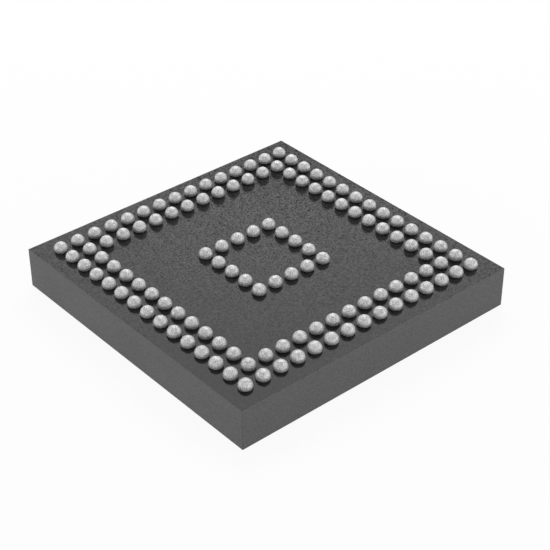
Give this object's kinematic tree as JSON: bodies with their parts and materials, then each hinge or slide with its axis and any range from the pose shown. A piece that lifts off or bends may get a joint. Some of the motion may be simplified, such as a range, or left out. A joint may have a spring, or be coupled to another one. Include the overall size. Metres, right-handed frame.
{
  "type": "microcontroller",
  "caption": "Square black moulded ball grid array microcontroller, lying with its solder balls up: two full outer rings and one small inner ring of balls.",
  "frame": {"origin": "middle of the flat outer face of the mould, on which the part lies", "axes": "+Z out of the ball side, +X along the rows of balls from column 1 to column 15, +Y across them from row A to row R"},
  "size_m": [0.0082, 0.0082, 0.0013],
  "materials": {
    "mould_compound": "fine spark-eroded black epoxy",
    "silicon": "polished silicon",
    "attach_film": "cured adhesive film",
    "solder_resist": "satin black solder resist",
    "gold_plated_copper": "nickel and gold plated copper",
    "laminate": "saw-cut dark laminate",
    "bond_wire": "drawn gold",
    "solder": "grainy tin solder"
  },
  "bodies": {
    "root": {"mould_cap": "mould_compound", "die": "silicon", "die_attach_film": "attach_film", "die_side_mask": "solder_resist", "bond_fingers": "gold_plated_copper", "substrate_core": "laminate", "ball_lands": "gold_plated_copper", "ball_side_mask": "solder_resist", "bond_wires_left": "bond_wire", "bond_wires_right": "bond_wire", "bond_wires_front": "bond_wire", "bond_wires_back": "bond_wire", "solder_balls_row_A": "solder", "solder_balls_row_B": "solder", "solder_balls_row_C": "solder", "solder_balls_row_D": "solder", "solder_balls_row_E": "solder", "solder_balls_row_F": "solder", "solder_balls_row_G": "solder", "solder_balls_row_H": "solder", "solder_balls_row_J": "solder", "solder_balls_row_K": "solder", "solder_balls_row_L": "solder", "solder_balls_row_M": "solder", "solder_balls_row_N": "solder", "solder_balls_row_P": "solder", "solder_balls_row_R": "solder"}
  },
  "joints": []
}
